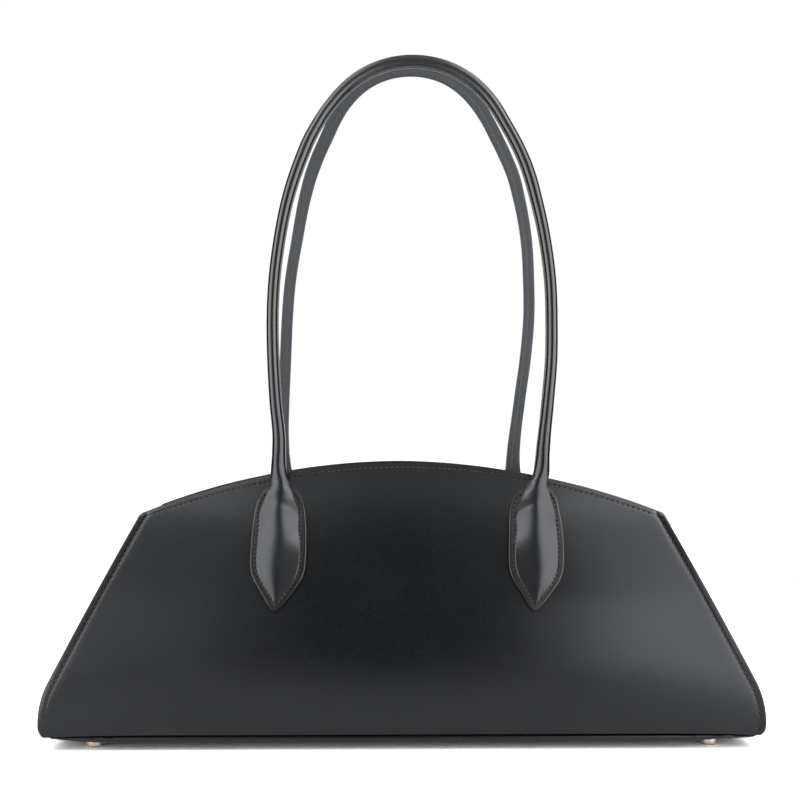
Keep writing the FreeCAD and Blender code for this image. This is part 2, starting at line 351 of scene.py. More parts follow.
# Front and rear panels: smooth black box calf over a board stiffener, skived and painted at the edge.
# Each is sewn flat to the gussets along its sides, swells inside the seam, and rolls under at the base.
# The rear panel is the front one turned round.
half_width = 210.0
seam_z = 9.0
crown_z = 164.0
corner_x, corner_z = 156.2, 134.6
top_radius = (corner_x ** 2 + (crown_z - corner_z) ** 2) / (2 * (crown_z - corner_z))
toe_reach = 4.2
toe_rise = 7.0
lower_z = 8.35
lower_arch = 1.35
shoulder_radius = 5.0
flare_x, flare_z, flare_radius = 160.0, 17.0, 50.0
to_corner = math.hypot(corner_x - flare_x, corner_z - flare_z)
side_lean = math.atan2(corner_z - flare_z, corner_x - flare_x) - math.acos(flare_radius / to_corner)
panel_thick = 1.8
panel_edge = 0.85
side_seam = 3.9
seam_start, seam_end = 13.5, 128.0
top_seam = 2.8
swell = 0.22
swell_run = 1.1
seam_dent = 0.1
left_lift, right_lift = 0.28, 0.46
edge_round = 0.24
side_pitch = 3.25
roll_under = 0.6
top_roll = 0.45
flange_turn = 0.6
roll_height = 2.2


def panel_reach(x, z):
    # Distance of the plain panel from the middle plane
    h = (z - seam_z) / (crown_z - seam_z)
    taper = 0.2 * h + 0.8 * h * h
    return 60.0 - 40.0 * taper + 28.0 * h * (1 - h) * (1 - (x / half_width) ** 2)


def panel_slope(x, z):
    # How far the plain panel leans back from upright, in radians
    return np.arctan(panel_reach(x, z - 0.5) - panel_reach(x, z + 0.5))


def side_x(z, inset):
    # Place of the right side edge at a height, moved inwards by an inset
    radius = flare_radius - inset
    turn_z = flare_z + radius * math.sin(side_lean)
    rise = np.clip(z, flare_z, turn_z) - flare_z
    curved = flare_x + np.sqrt(radius ** 2 - rise ** 2)
    straight = (z - turn_z) * math.tan(side_lean)
    return np.where(z < turn_z, curved, flare_x + radius * math.cos(side_lean) - straight)


def top_z(x, inset):
    # Height of the arched top edge, moved down by an inset
    return crown_z - top_radius + np.sqrt((top_radius - inset) ** 2 - x ** 2)


def arc(x, z, radius, start, stop, count, rise=None):
    # Points along an arc, which is drawn out upwards where a rise is given
    turn = np.linspace(start, stop, count)
    return np.stack([x + radius * np.cos(turn), z + (rise or radius) * np.sin(turn)], axis=1)


def shoulder():
    # Centre of the rounding where the side edge meets the top edge
    radius = flare_radius - shoulder_radius
    low = np.array([radius * math.cos(side_lean), radius * math.sin(side_lean)])
    low += (flare_x, flare_z + top_radius - crown_z)
    along = np.array([-math.sin(side_lean), math.cos(side_lean)])
    middle = low @ along
    reach = math.sqrt(middle ** 2 - low @ low + (top_radius - shoulder_radius) ** 2) - middle
    place = low + along * reach
    return place[0], place[1] + crown_z - top_radius, math.atan2(place[1], place[0])


shoulder_x, shoulder_z, shoulder_turn = shoulder()
shoulder_middle = (side_lean + shoulder_turn) / 2
toe_x, toe_z = half_width - toe_reach, lower_z + toe_rise
lower_x = toe_x * (1 - np.linspace(0, 1, 24) ** 2)
side_path = np.concatenate([
    arc(toe_x, toe_z, toe_reach, -math.pi / 4, 0, 12, toe_rise),
    arc(flare_x, flare_z, flare_radius, 0, side_lean, 24),
    arc(shoulder_x, shoulder_z, shoulder_radius, side_lean, shoulder_middle, 6),
])
top_half = np.concatenate([
    arc(shoulder_x, shoulder_z, shoulder_radius, shoulder_middle, shoulder_turn, 6),
    arc(0, crown_z - top_radius, top_radius, shoulder_turn, math.pi / 2, 40)[1:],
])
bottom_half = np.concatenate([
    arc(toe_x, toe_z, toe_reach, -math.pi / 4, -math.pi / 2, 12, toe_rise),
    np.stack([lower_x, lower_z + lower_arch * (1 - (lower_x / toe_x) ** 10)], axis=1)[1:],
])


def both_halves(half):
    # A right half and its mirror image, from left to right
    return np.concatenate([half * (-1, 1), half[-2::-1]])


def gap_to(path, x, z):
    # Distance of each point from a line of points
    gap = np.full(np.shape(x), 1e9)
    for (x0, z0), (x1, z1) in zip(path[:-1], path[1:]):
        run = (x1 - x0) ** 2 + (z1 - z0) ** 2
        share = np.clip(((x - x0) * (x1 - x0) + (z - z0) * (z1 - z0)) / run, 0, 1)
        gap = np.minimum(gap, np.hypot(x - x0 - share * (x1 - x0), z - z0 - share * (z1 - z0)))
    return gap


def panel_face(x, z):
    # Distance of the sewn panel's outer face from the middle plane
    edges = side_path, top_half, bottom_half
    side, top, bottom = (gap_to(edge, np.abs(x), z) for edge in edges)
    pull = 0.5 + 0.5 * np.cos(2 * math.pi * (z - seam_start) / (side_pitch * math.cos(side_lean)))
    low = np.clip((70 - z) / 50, 0, 1)
    start = side_seam + 0.4 + 0.8 * pull * (1 - 0.6 * low)
    full = 1 - np.exp(-np.maximum(side - start, 0) / (swell_run + 2 * low))
    full = full * (1 - 0.45 * low) * (0.3 + 0.7 * (1 - np.exp(-np.maximum(top - top_seam, 0) / 8)))
    dent = np.exp(-((side - side_seam) / 0.7) ** 2) + 0.8 * np.exp(-((top - top_seam) / 0.7) ** 2)
    roll = roll_under * np.maximum(1 - bottom / roll_height, 0) ** 2
    roll = roll + top_roll * np.maximum(1 - top / top_seam, 0) ** 2
    flange = np.maximum(1 - side / side_seam, 0)
    turned = np.where(x < 0, low, 0.0)
    lift = np.where(x < 0, left_lift, right_lift) * (1 - turned)
    roll = roll + flange_turn * turned * flange ** 2 - lift * flange
    roll = roll + edge_round * np.maximum(1 - side / 0.9, 0) ** 2
    wave = np.sin(x / 31 + 1.3) * np.sin(z / 23 + 0.4) + 0.5 * np.sin(x / 14 + 2) * np.sin(z / 17)
    return panel_reach(x, z) + swell * full - seam_dent * dent - roll + 0.12 * full * wave


def along_path(path, share):
    # Points at shares of a line's length
    steps = np.hypot(*np.diff(path, axis=0).T)
    place = np.concatenate([[0], np.cumsum(steps)]) / steps.sum()
    return np.stack([np.interp(share, place, path[:, k]) for k in (0, 1)], axis=1)


def closer_at_ends(share):
    # Even shares drawn closer together towards both ends
    return 0.15 * share + 0.85 * (1 - np.cos(math.pi * share)) / 2


def formed_sheet(name, across, along, form):
    # A flat sheet laid into its form, which takes shares across and along and gives millimetres
    lay_down()
    bpy.ops.mesh.primitive_grid_add(x_subdivisions=across, y_subdivisions=along, size=1)
    piece = bpy.context.object
    piece.name = name
    flat = points_of(piece) * MM + 0.5
    put_points(piece, np.stack(form(flat[:, 0], flat[:, 1]), axis=1))
    return piece


def turned_copy(piece, name):
    # The same piece turned half round the upright axis, with its own mesh
    take_up(piece)
    bpy.ops.object.duplicate()
    copy = bpy.context.object
    copy.name = name
    copy.data.transform(Matrix.Rotation(math.pi, 4, "Z"))
    return copy


def panel_form(u, v):
    # Outline filled between its four edges
    u = np.interp(u, (0, 0.2, 0.3, 0.7, 0.8, 1), (0, 0.02, 0.08, 0.92, 0.98, 1))
    v = np.interp(v, (0, 0.11, 0.88, 1), (0, 0.03, 0.94, 1))
    bottom = along_path(both_halves(bottom_half), u)
    top = along_path(both_halves(top_half), u)
    right = along_path(side_path, v)
    left = right * (-1, 1)
    u, v = u[:, None], v[:, None]
    spot = (1 - v) * bottom + v * top + (1 - u) * left + u * right
    for share, place in ((1 - v, side_path[0]), (v, side_path[-1])):
        spot -= share * ((1 - u) * (place * (-1, 1)) + u * place)
    return spot[:, 0], -panel_face(spot[:, 0], spot[:, 1]), spot[:, 1]


def edge_paint(name, dark, light, roughness):
    # Layers of pigment paint brushed along a cut edge, a little uneven
    return flecked(name, dark, light, roughness, 0.1, 420.0, 2.0, 0.5, 0.08)


def cut_from_hide(piece, thick, edge, segments, corner):
    # Gives a formed sheet its thickness and a rounded, painted edge
    piece.data.materials.append(box_calf)
    piece.data.materials.append(black_paint)
    worked(piece, "SOLIDIFY", thickness=thick * MM, offset=-1.0, use_rim=True, material_offset_rim=1)
    limit = {"limit_method": "ANGLE", "angle_limit": math.radians(corner)}
    worked(piece, "BEVEL", width=edge * MM, segments=segments, **limit)
    smooth_over(piece, 50)


def settled(piece):
    # The rear wall has settled a little at the mouth, more at one end
    spots = points_of(piece)
    drop = np.interp(spots[:, 0], (-150, -90, 0, 150), (0.5, 1.1, 0.9, 2.8))
    spots[:, 2] -= drop * ramp(spots[:, 2], 90, 50) ** 2
    put_points(piece, spots)
    return piece


box_calf = calf("box_calf", *calf_black, 0.2, 0.3, 0.085)
black_paint = edge_paint("black_edge_paint", (0.008, 0.0085, 0.009), (0.014, 0.0148, 0.0155), 0.1)
front_panel = formed_sheet("front_panel_calf", 150, 210, panel_form)
cut_from_hide(front_panel, panel_thick, panel_edge, 5, 50)
rear_panel = settled(turned_copy(front_panel, "rear_panel_calf"))
fitted(front_panel, "body_leather", "front_panel")
fitted(rear_panel, "body_leather", "rear_panel")
dress(fibre_board, "front_stiffener", "rear_stiffener")


# End gussets: a strip of the same calf, folded to a flange along each side and let in between the panels.
# The flanges are sewn and painted flush with the panels' edges, and the wall is drawn inwards at the mouth.
gusset_top = 130.5
flange_width = 5.0
gusset_thick, gusset_edge = 1.2, 0.3
flange_face = 3.1
fold_radius = 1.6
wall_hollow_low = 1.5
wall_hollow_high = 7.0
mouth_dip = 5.0
flange_start = 0.35
toe_gap = 0.2


def gusset_form(u, v):
    # From the front flange across the wall to the rear one, at shares of the height.
    # The flanges start higher, where the panel's lower corner is rounded
    z = seam_z + (gusset_top - seam_z) * v
    flange = flange_width - flange_start - fold_radius
    fold = fold_radius * math.pi / 2
    for _ in range(3):
        middle_x = side_x(z, flange_width)
        half_y = panel_reach(middle_x, z) - flange_face
        wall = half_y - fold_radius
        place = (closer_at_ends(u) * 2 - 1) * (wall + fold + flange)
        side, run = np.sign(place), np.abs(place)
        turn = ramp(run, wall, fold) * math.pi / 2
        inset = flange_width - fold_radius * (1 - np.cos(turn)) - np.maximum(run - wall - fold, 0)
        past = np.clip(1 - (inset - toe_gap) / toe_reach, 0, 1)
        start = np.maximum(toe_z - toe_rise * np.sqrt(1 - past ** 2), seam_z)
        z = start + (gusset_top - start) * v
    y = np.minimum(run, wall) + fold_radius * np.sin(turn)
    hollow = wall_hollow_low + (wall_hollow_high - wall_hollow_low) * v ** 1.5
    middle = np.clip(1 - (y / half_y) ** 2, 0, 1)
    inset = inset + hollow * middle ** 1.3
    z = z - mouth_dip * middle * v ** 6
    x = side_x(z, inset)
    fit = panel_reach(x, z) / panel_reach(middle_x, z)
    return x, side * y * np.where(run > wall, fit, 1.0), z


right_gusset = formed_sheet("right_gusset_calf", 64, 44, gusset_form)
cut_from_hide(right_gusset, gusset_thick, gusset_edge, 2, 60)
left_gusset = turned_copy(right_gusset, "left_gusset_calf")
fitted(right_gusset, "body_leather", "right_gusset")
fitted(left_gusset, "body_leather", "left_gusset")


# Mouth facings: a band of calf glued inside the top of each panel, its lower edge lapped by the lining.
# Panel and facing are sewn together along the top edge, and the edge is painted.
facing_drop = 28.0
facing_start = 0.35
facing_thick, facing_edge = 1.2, 0.3
facing_side = 6.9
facing_low = 107.0


def facing_form(u, v):
    # From end to end along the arch, and from the lower edge up
    inset = facing_start + (facing_drop - facing_start) * (1 - v)
    end = np.full(np.shape(u), 150.0)
    for _ in range(12):
        end = side_x(np.maximum(top_z(end, inset), facing_low), facing_side)
    x = (closer_at_ends(u) * 2 - 1) * -end
    z = np.maximum(top_z(x, inset), facing_low)
    return x, -(panel_reach(x, z) - flange_face), z


front_facing = formed_sheet("front_facing_calf", 90, 12, facing_form)
cut_from_hide(front_facing, facing_thick, facing_edge, 2, 60)
rear_facing = settled(turned_copy(front_facing, "rear_facing_calf"))
fitted(front_facing, "facing_leather", "front_facing")
fitted(rear_facing, "facing_leather", "rear_facing")


# Lining: one sewn pouch of dark twill, lapped over the lower edge of the facings and glued to the ends.
# It hangs a little slack against the walls and lies on the base board.
lining_floor = 9.0
lining_lap = 24.0
lining_ply = 3.7
lining_side = 14.5
lining_end_top = 124.0
lining_thick = 0.5
lap_level = 114.0
slack = 1.2


def twill(name, dark, light):
    # Fine diagonal weave: raised weft threads crossing the warp
    material, shade, where = finish_called(name)
    x, z = (shade.node("ShaderNodeSeparateXYZ", None, {0: where}, output=k) for k in (0, 2))
    pitch = 2 * math.pi / (0.9 * MM)
    rib = shade.sum("SINE", (x + z) * pitch)
    thread = shade.sum("SINE", (x - z) * (pitch * 2.0))
    weave = rib * 0.35 + thread * 0.15 + 0.5
    surface(shade, 0.5, 0.12, weave, {
        "Base Color": tinted(shade, dark, light, weave),
        "Roughness": 0.75 + weave * 0.15,
        "Sheen Weight": 0.3,
    })
    return material


lining_twill = twill("lining_twill", (0.012, 0.012, 0.013), (0.04, 0.04, 0.042))
lay_down()
bpy.ops.mesh.primitive_cube_add(size=2)
lining = bpy.context.object
lining.name = "lining_pouch"
bpy.ops.object.mode_set(mode="EDIT")
open_top(lining)
bpy.ops.mesh.select_all(action="SELECT")
bpy.ops.mesh.subdivide(number_cuts=39)
bpy.ops.object.mode_set(mode="OBJECT")
a, b, c = (points_of(lining) * MM).T
end_share = np.clip((1 - np.abs(b)) / 0.3, 0, 1)
wall_top = top_z(a * side_x(np.full_like(a, lap_level), lining_side), lining_lap)
top = np.where(np.abs(a) > 0.999, wall_top + (lining_end_top - wall_top) * end_share, wall_top)
z = lining_floor + (top - lining_floor) * (c + 1) / 2
x = a * side_x(z, lining_side)
y = b * (panel_reach(x, z) - lining_ply)
hang = np.sin(x / 19 + 1.0) * np.sin(z / 27) + 0.6 * np.sin(x / 9 + z / 31)
slackness = slack * (1 - a ** 8) * np.clip((1 - c) * 1.4, 0, 1) * (0.6 + 0.25 * hang)
y -= np.sign(b) * np.where(np.abs(b) > 0.999, slackness, 0.0)
put_points(lining, np.stack([x, y, z], axis=1))
take_up(lining)
bpy.ops.object.mode_set(mode="EDIT")
bpy.ops.mesh.select_all(action="SELECT")
bpy.ops.mesh.flip_normals()
bpy.ops.object.mode_set(mode="OBJECT")
worked(lining, "SMOOTH", factor=0.5, iterations=4)
worked(lining, "SOLIDIFY", thickness=lining_thick * MM, offset=1.0)
smooth_over(lining, 60)
lining.data.materials.append(lining_twill)
fitted(
    lining, "lining_cloth", "front_lining", "rear_lining", "left_gusset_lining", "right_gusset_lining",
    "base_lining",
)


# Magnetic snap: a plated socket on the front facing and a stud on the rear one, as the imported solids
# give them. Prongs through the facing hold each half, out of sight.
dress(pale_gold, "snap_socket", "snap_stud")


# Handles and tabs: calf rolled and sewn round a cord, with the seam along the inner side of the bow.
# Each end swells into a ridged foot on a leaf-shaped tab, which is sewn to its panel all round.
pivot_z = 152.0
leg_x = 75.0
stand_off = 4.4
widest_rise = 93.5
roll_start = 172.5
leaf_edge = 2.0
leaf_margin = 3.6
leaf_round = 0.9
seam_lap = 0.5
flat_z, flat_run = 378.0, 36.0
# Height of a section and the tab's half width
leaf_outline = np.array([
    (80.3, 0), (81.5, 2.6), (84.2, 5), (89.1, 8.5), (93.7, 11.7), (98.3, 14.4), (103, 15.9),
    (110, 16.4), (120, 16.3), (128, 15.9), (134.8, 15.2), (140, 14.1), (143, 13),
    (145.2, 11.6), (147, 10), (148.5, 8.2), (150, 5.8), (151, 3.4), (151.5, 0),
])
# Height of a section, then the roll's half width, its top and the edge of its round above the panel
foot_table = np.array([
    (82.5, 0.8, 2.1, 1.6), (86, 2.8, 2.6, 1.7), (91, 6.6, 3.5, 1.8), (98, 11.1, 4.7, 1.8),
    (104.5, 13.1, 5.1, 1.8), (112, 13.5, 5.3, 1.8), (120, 13.4, 5.8, 1.7), (128, 13, 6.4, 1.7),
    (133, 11.9, 6.9, 2.4), (137, 10.4, 7.3, 4.1), (140, 9, 7.6, 5.4), (143, 7.7, 7.9, 5.8),
    (145, 7, 8.1, 6), (147.1, 6.4, 8.2, 6), (149.5, 5.8, 8.3, 5.9), (152.7, 5.3, 8.4, 5.9),
    (158.6, 4.7, 8.5, 5.4), (163.2, 4.4, 8.5, 4.9), (170.5, 4.1, 8.5, 4.4), (172, 4.1, 8.5, 4.4),
])
# Height and radius of the roll
roll_table = np.array([
    (172, 4.1), (178, 3.9), (200, 3.6), (250, 3.4), (310, 3.4), (345, 3.45), (385, 3.6),
    (405, 3.7), (420, 3.7),
])
back_count, edge_count, margin_count = 9, 7, 6
dome_turn = np.radians(np.linspace(177, 3, 31))


def eased(share):
    # A share that starts and stops softly
    share = np.clip(share, 0, 1)
    return share * share * (3 - 2 * share)


def curve_through(table, z):
    # Smooth line through a table of heights and values
    heights, values = table.T
    slope = np.gradient(values, heights)
    k = np.clip(np.searchsorted(heights, z) - 1, 0, len(heights) - 2)
    step = heights[k + 1] - heights[k]
    t = ramp(z, heights[k], step)
    first = (1 + 2 * t) * (1 - t) ** 2 * values[k] + t * (1 - t) ** 2 * step * slope[k]
    return first + t * t * (3 - 2 * t) * values[k + 1] - t * t * (1 - t) * step * slope[k + 1]


def leaf_half_width(z):
    # The squared width is drawn smooth, so that the tip is round
    squared = leaf_outline.copy()
    squared[:, 1] **= 2
    return np.sqrt(np.maximum(curve_through(squared, z), 0.01))


def leaf_ring(z):
    # Section of a tab: its back, the left edge and sewn margin, the middle, the right margin and edge
    wide = leaf_half_width(z)
    margin = min(leaf_margin, 0.7 * wide)
    round_off = min(leaf_round, 0.3 * wide)
    back = [(wide * 0.97 * s, 0.0) for s in np.linspace(0.97, -0.97, back_count)]
    corner = [(-wide + round_off * (1 - math.cos(t)), leaf_edge - round_off * (1 - math.sin(t)))
              for t in np.linspace(0, math.pi / 2, edge_count - 2)]
    left = [(-wide, 0.15), (-wide, 0.5 * leaf_edge)] + corner
    sewn = margin - round_off
    flat = [(-wide + round_off + sewn * s, leaf_edge) for s in np.linspace(0.2, 1, margin_count)]
    mirrored = [(-u, v) for u, v in (left + flat)[::-1]]
    return np.array(back + left + flat + [(0.0, leaf_edge)] + mirrored)


def closed_section(wide, edge, back_level, dome, lap):
    # A round front closed by upright sides and a grooved flat back
    bend = min(0.18 * wide, 0.7)
    deep = edge - back_level

    def side(out):
        corner = [(wide + out - bend * (1 - math.sin(t)), back_level + bend * (1 - math.cos(t)))
                  for t in np.linspace(0.2, math.pi / 2, edge_count - 2)]
        step = [(wide + out, edge - 0.55 * deep), (wide + 0.1 * out, edge - 0.45 * deep)]
        return corner + step + [(wide, edge - t * deep) for t in np.linspace(0.4, 0.06, margin_count)]

    back = [(s, back_level) for s in np.linspace(wide - bend, bend - wide - lap, back_count)]
    back[back_count // 2] = (-lap / 2, back_level + 0.25)
    return np.array(back + [(-u, v) for u, v in side(lap)] + dome + side(0.0)[::-1])


def foot_ring(z):
    # Section of a handle's foot: a flat back and a ridged swelling, steeper on its outer side, that
    # turns round towards the neck, with a soft fold across it where the neck begins
    wide, top, edge = (curve_through(foot_table[:, [0, k]], z) for k in (1, 2, 3))
    turned = eased((z - 150) / 20)
    roofed = eased((125 - z) / 14)
    ridge = 0.9 * roofed + 0.5 * math.sin(z / 5)
    tuck = 1.1 * eased((140 - z) / 8) * eased((z - 84) / 12)
    back_level = 0.3 + 0.8 * eased((z - 140) / 12)
    dome = []
    for turn in dome_turn:
        s = math.cos(turn)
        reach, low, soft = wide, edge, 0.4 + 0.8 * eased((z - 140) / 8)
        if s < 0:
            reach, low, soft = wide - tuck, edge + 0.42 * roofed * (top - edge), soft - 0.2 * roofed
        fall = (math.hypot(s, soft) - soft) / (math.hypot(1, soft) - soft)
        fall += 0.26 * math.exp(-((z - 138.5 - 3 * s) / 1.6) ** 2) * abs(s) * (1 - s * s)
        lift = (1 - turned) * (1 - fall) + turned * math.sin(turn)
        dome.append((reach * s + ridge * (1 - abs(s)), low + (top - low) * lift))
    return closed_section(wide, edge, back_level, dome, 0.0)


def tube_ring(wide, lap):
    # Section of the rolled handle: round outside, with upright sides and a flat sewn inner face
    # whose seam stands out by a lap towards the inside of the bow
    dome = list(zip(wide * np.cos(dome_turn), stand_off + wide * np.sin(dome_turn)))
    return closed_section(wide, stand_off, stand_off - 0.8 * wide, dome, lap)


def bow(crown_y, crown_height, spread, crown_radius):
    # Middle line of one side of a front handle from its pivot to the crown, with the way it runs
    base_y = -panel_reach(leg_x, pivot_z) - (stand_off / math.cos(panel_slope(leg_x, pivot_z)))
    rise = math.hypot(crown_y - base_y, crown_height - pivot_z)
    half, head = spread / 2, rise - widest_rise
    shoulder_bend = (half ** 2 + head ** 2 - 2 * head * crown_radius) / (2 * (half - crown_radius))
    leg_bend = (widest_rise ** 2 + (half - leg_x) ** 2) / (2 * (half - leg_x))
    crown_turn = math.atan2(head - crown_radius, shoulder_bend - half)
    path = np.concatenate([
        arc(half - leg_bend, widest_rise, leg_bend, -math.asin(widest_rise / leg_bend), 0, 34),
        arc(half - shoulder_bend, widest_rise, shoulder_bend, 0, crown_turn, 46)[1:],
        arc(0, rise - crown_radius, crown_radius, crown_turn, math.pi / 2, 34)[1:],
    ])
    lean = (crown_y - base_y) / rise, (crown_height - pivot_z) / rise
    return path, base_y, lean


def handle_stations(crown_y, crown_height, spread, crown_radius, flattened):
    # Rings of one side, from the tip of the right foot to the crown, as rows of points
    path, base_y, lean = bow(crown_y, crown_height, spread, crown_radius)
    outward = np.array([0.0, -lean[1], lean[0]])
    up = np.array([0.0, lean[0], lean[1]])
    rings = []
    spans = (foot_table[0, 0], 132, 36), (133, 156, 36), (157, 171.5, 13)
    for z in np.concatenate([np.linspace(*span) for span in spans]):
        slope = float(panel_slope(leg_x, z))
        section = foot_ring(z)
        rise = (z - pivot_z) / lean[1]
        bow_x = np.interp(rise, path[:, 1], path[:, 0]) if rise > 0 else leg_x
        share = eased((z - 145) / 20)
        tilt = (1 - share) * slope + share * math.atan2(lean[0], lean[1])
        x = bow_x + section[:, 0]
        top = section[:, 1].max()
        front_z = z + (top - stand_off * share) * math.sin(tilt)
        on_tab = panel_reach(leg_x, front_z) + 0.3 + top / math.cos(panel_slope(leg_x, front_z))
        on_bow = -base_y - (front_z - pivot_z) * lean[0] / lean[1] + top - stand_off
        front = (on_tab + on_bow + math.hypot(on_tab - on_bow, 2.0)) / 2
        middle = (1 - share) * (panel_reach(x, z) - panel_reach(leg_x, z))
        loose = eased((z - 138) / 8)
        y = -(1 - loose) * (panel_reach(x, z) + 0.3) - loose * (front - top * math.cos(tilt) + middle)
        level = z + (section[:, 1] - stand_off * share) * math.sin(tilt)
        rings.append(np.stack([x, y - section[:, 1] * math.cos(tilt), level], axis=1))
    run = np.gradient(path, axis=0)
    run[-1] = (-1, 0)
    run /= np.hypot(*run.T)[:, None]
    for (u, v), (du, dv) in zip(path, run):
        if pivot_z + v * lean[1] < roll_start:
            continue
        centre = np.array([u, base_y, pivot_z]) + v * up
        across = np.array([dv, 0.0, 0.0]) - du * up
        lap = seam_lap * eased((centre[2] - 176) / 45)
        wide = curve_through(roll_table, centre[2])
        wide += flattened * math.exp(-((centre[2] - flat_z) / flat_run) ** 2)
        section = tube_ring(float(wide), lap) - (0, stand_off)
        rings.append(centre + section[:, :1] * across + section[:, 1:] * outward)
    return np.array(rings)


def tab_rings():
    # Rings of the right front tab, from its tip up
    above_tip = np.concatenate([[0.02, 0.12, 0.35, 0.8, 1.4, 2.2], np.linspace(3.2, 58, 38)])
    to_top = np.concatenate([np.linspace(139.6, 151.2, 20), [151.4, 151.48]])
    rings = []
    for z in np.concatenate([leaf_outline[0, 0] + above_tip, to_top]):
        slope = float(panel_slope(leg_x, z))
        section = leaf_ring(z)
        x = leg_x + section[:, 0]
        face = panel_face(x, np.full_like(x, z))
        lift = section[:, 1] + 0.1
        rings.append(np.stack([x, -face - lift * math.cos(slope), z + lift * math.sin(slope)], axis=1))
    return np.array(rings)


def swayed(spots, sway):
    # Moves points sideways, by the left leg's table on the left and the right leg's on the right
    share = ramp(spots[:, 0], -leg_x, 2 * leg_x)
    left, right = (curve_through(sway[:, [0, k]], spots[:, 2]) for k in (1, 2))
    moved = spots.copy()
    moved[:, 0] += left + (right - left) * share
    return moved


def wrapped(name, rings, sway, finishes, finish_of):
    # A sheet wrapped round rings of points and closed at both ends, each column in its finish
    whole = np.concatenate([rings, rings[:, :1]], axis=1)
    along, across = whole.shape[0] - 1, whole.shape[1] - 1

    def form(u, v):
        return whole[np.rint(v * along).astype(int), np.rint(u * across).astype(int)].T

    piece = formed_sheet(name, across, along, form)
    for finish in finishes:
        piece.data.materials.append(finish)
    row, column = np.divmod(np.arange(across * along), across)
    piece.data.polygons.foreach_set("material_index", finish_of(row, column, across).astype(np.int32))
    put_points(piece, swayed(points_of(piece), sway))
    take_up(piece)
    bpy.ops.object.mode_set(mode="EDIT")
    bpy.ops.mesh.select_all(action="SELECT")
    bpy.ops.mesh.remove_doubles(threshold=1e-6)
    bpy.ops.mesh.fill_holes(sides=0)
    bpy.ops.mesh.select_all(action="SELECT")
    bpy.ops.mesh.normals_make_consistent(inside=False)
    bpy.ops.object.mode_set(mode="OBJECT")
    smooth_over(piece, 45)
    return piece


handle_calf = calf(
    "handle_calf", *calf_black, 0.18, 0.3, 0.06, gloss=0.58, dulled=0.22, footed=0.12, waxed=0.65
)
# The handles' flat sewn side is the same black calf; its lighter grey colour is painted sheen, standing in
# for the light that the flat side catches
seam_calf = calf("seam_calf", (0.024, 0.0265, 0.031), (0.05, 0.055, 0.063), 0.5, 0.45, 0.12)
# Painted highlight: a light grey on the handles' seam edge draws the bright line of light along the inner
# side of each handle
seam_edge_painted_highlight = edge_paint("seam_edge_painted_highlight", (0.1, 0.105, 0.11), (0.18, 0.185, 0.195), 0.4)
# How the soft handles sway off their pattern: height, left leg and right leg
front_sway = np.array([
    (70, 0.4, 0.9), (80, 0.5, 1), (86, 1.4, 2.2), (94, 1.9, 3), (104, 1.9, 3.2), (123, 2.1, 3.9),
    (140, 2, 4), (149, 1.9, 5.3), (157, 2.1, 7), (165, 3.4, 6.5), (172, 4.7, 5.9), (178, 5.6, 5.6),
    (202, 6.1, 5.5), (227, 6.1, 6.2), (251, 5.8, 6.4), (275, 5.3, 7.2), (300, 4.7, 7.8), (324, 3.8, 8.5),
    (349, 3.4, 9.5), (363, 3.4, 8.8), (375, 4.8, 7.4), (385, 6.6, 6.5), (400, 7.4, 6.2), (412, 6.8, 6.8),
    (430, 6.8, 6.8),
])
rear_sway = np.array([
    (70, 0, 0), (140, -0.2, -0.8), (165, -0.5, -3), (202, 1.6, -0.6), (228, 3.3, 2.4),
    (254, 4.5, 4.6), (280, 5.2, 6), (306, 6.1, 7.8), (332, 5.6, 8.6), (348, 5.6, 8.7), (360, 6.6, 7.2),
    (372, 8.4, 5), (386, 9.8, 2.8), (400, 9.4, 2.9), (415, 6.5, 6.5), (430, 6.5, 6.5),
])


def tab_finish(row, column, across):
    # Painted edges round the leather
    edge = (column >= back_count - 1) & (column < back_count + edge_count)
    return np.where(edge | (column >= across - edge_count - 1), 1, 0)


def roll_finish(row, column, across):
    # The flat sewn side of the roll above the foot, whose lighter calf is painted sheen, and the edge of
    # its seam, whose light grey is a painted highlight
    high = (row >= foot_rows) & (row < roll_rows - foot_rows)
    flat = (column < back_count + 2) | (column >= across - 3)
    lap = (column >= back_count + edge_count - 5) & (column < back_count + edge_count - 1)
    return np.where(high, np.where(lap, 2, np.where(flat, 1, 0)), 0)


bend_low, bend_high = 140.0, 176.0
seam_low = 146.0
neck_y = 31.5
front_rings = handle_stations(
    crown_y=-12.0, crown_height=410.9, spread=169.0, crown_radius=60.0, flattened=0.0
)
rear_rings = handle_stations(
    crown_y=-24.0, crown_height=414.8, spread=157.0, crown_radius=57.5, flattened=0.75
)
foot_rows = int((front_rings[:, back_count, 2] < seam_low).sum())
roll_rows = 2 * len(front_rings) - 2
leaf_rings = tab_rings()
roll_finishes = (handle_calf, seam_calf, seam_edge_painted_highlight)
tab_finishes = (handle_calf, black_paint)
handles = []
for side, rings, turn, sway in (("front", front_rings, 1, front_sway), ("rear", rear_rings, -1, rear_sway)):
    whole = np.concatenate([rings * (-1, 1, 1), rings[-2::-1]]) * (turn, turn, 1)
    handles.append(wrapped(side + "_handle_calf", whole, sway, roll_finishes, roll_finish))
    for end, way in (("left", -1), ("right", 1)):
        name = side + "_" + end + "_tab_calf"
        tab = wrapped(name, leaf_rings * (way, turn, 1), sway, tab_finishes, tab_finish)
        fitted(tab, "tab_leather", side + "_" + end + "_tab")
for handle, side, place in zip(handles, ("front", "rear"), (-1, 1)):
    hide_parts(side + "_handle_cover", side + "_handle_core")
    start, end = ((0, place * neck_y * MM, level * MM) for level in (bend_low, bend_high))
    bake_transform(handle)
dress(fibre_board, "tab_backings")


# Stitching: waxed black thread in slanting hand stitches, sunk into the leather along every seam.
# Rows run down the side seams, along the mouth and round the tabs.
stitch_slant = math.radians(9)
mouth_pitch, inner_pitch, tab_pitch = 3.2, 3.1, 2.5
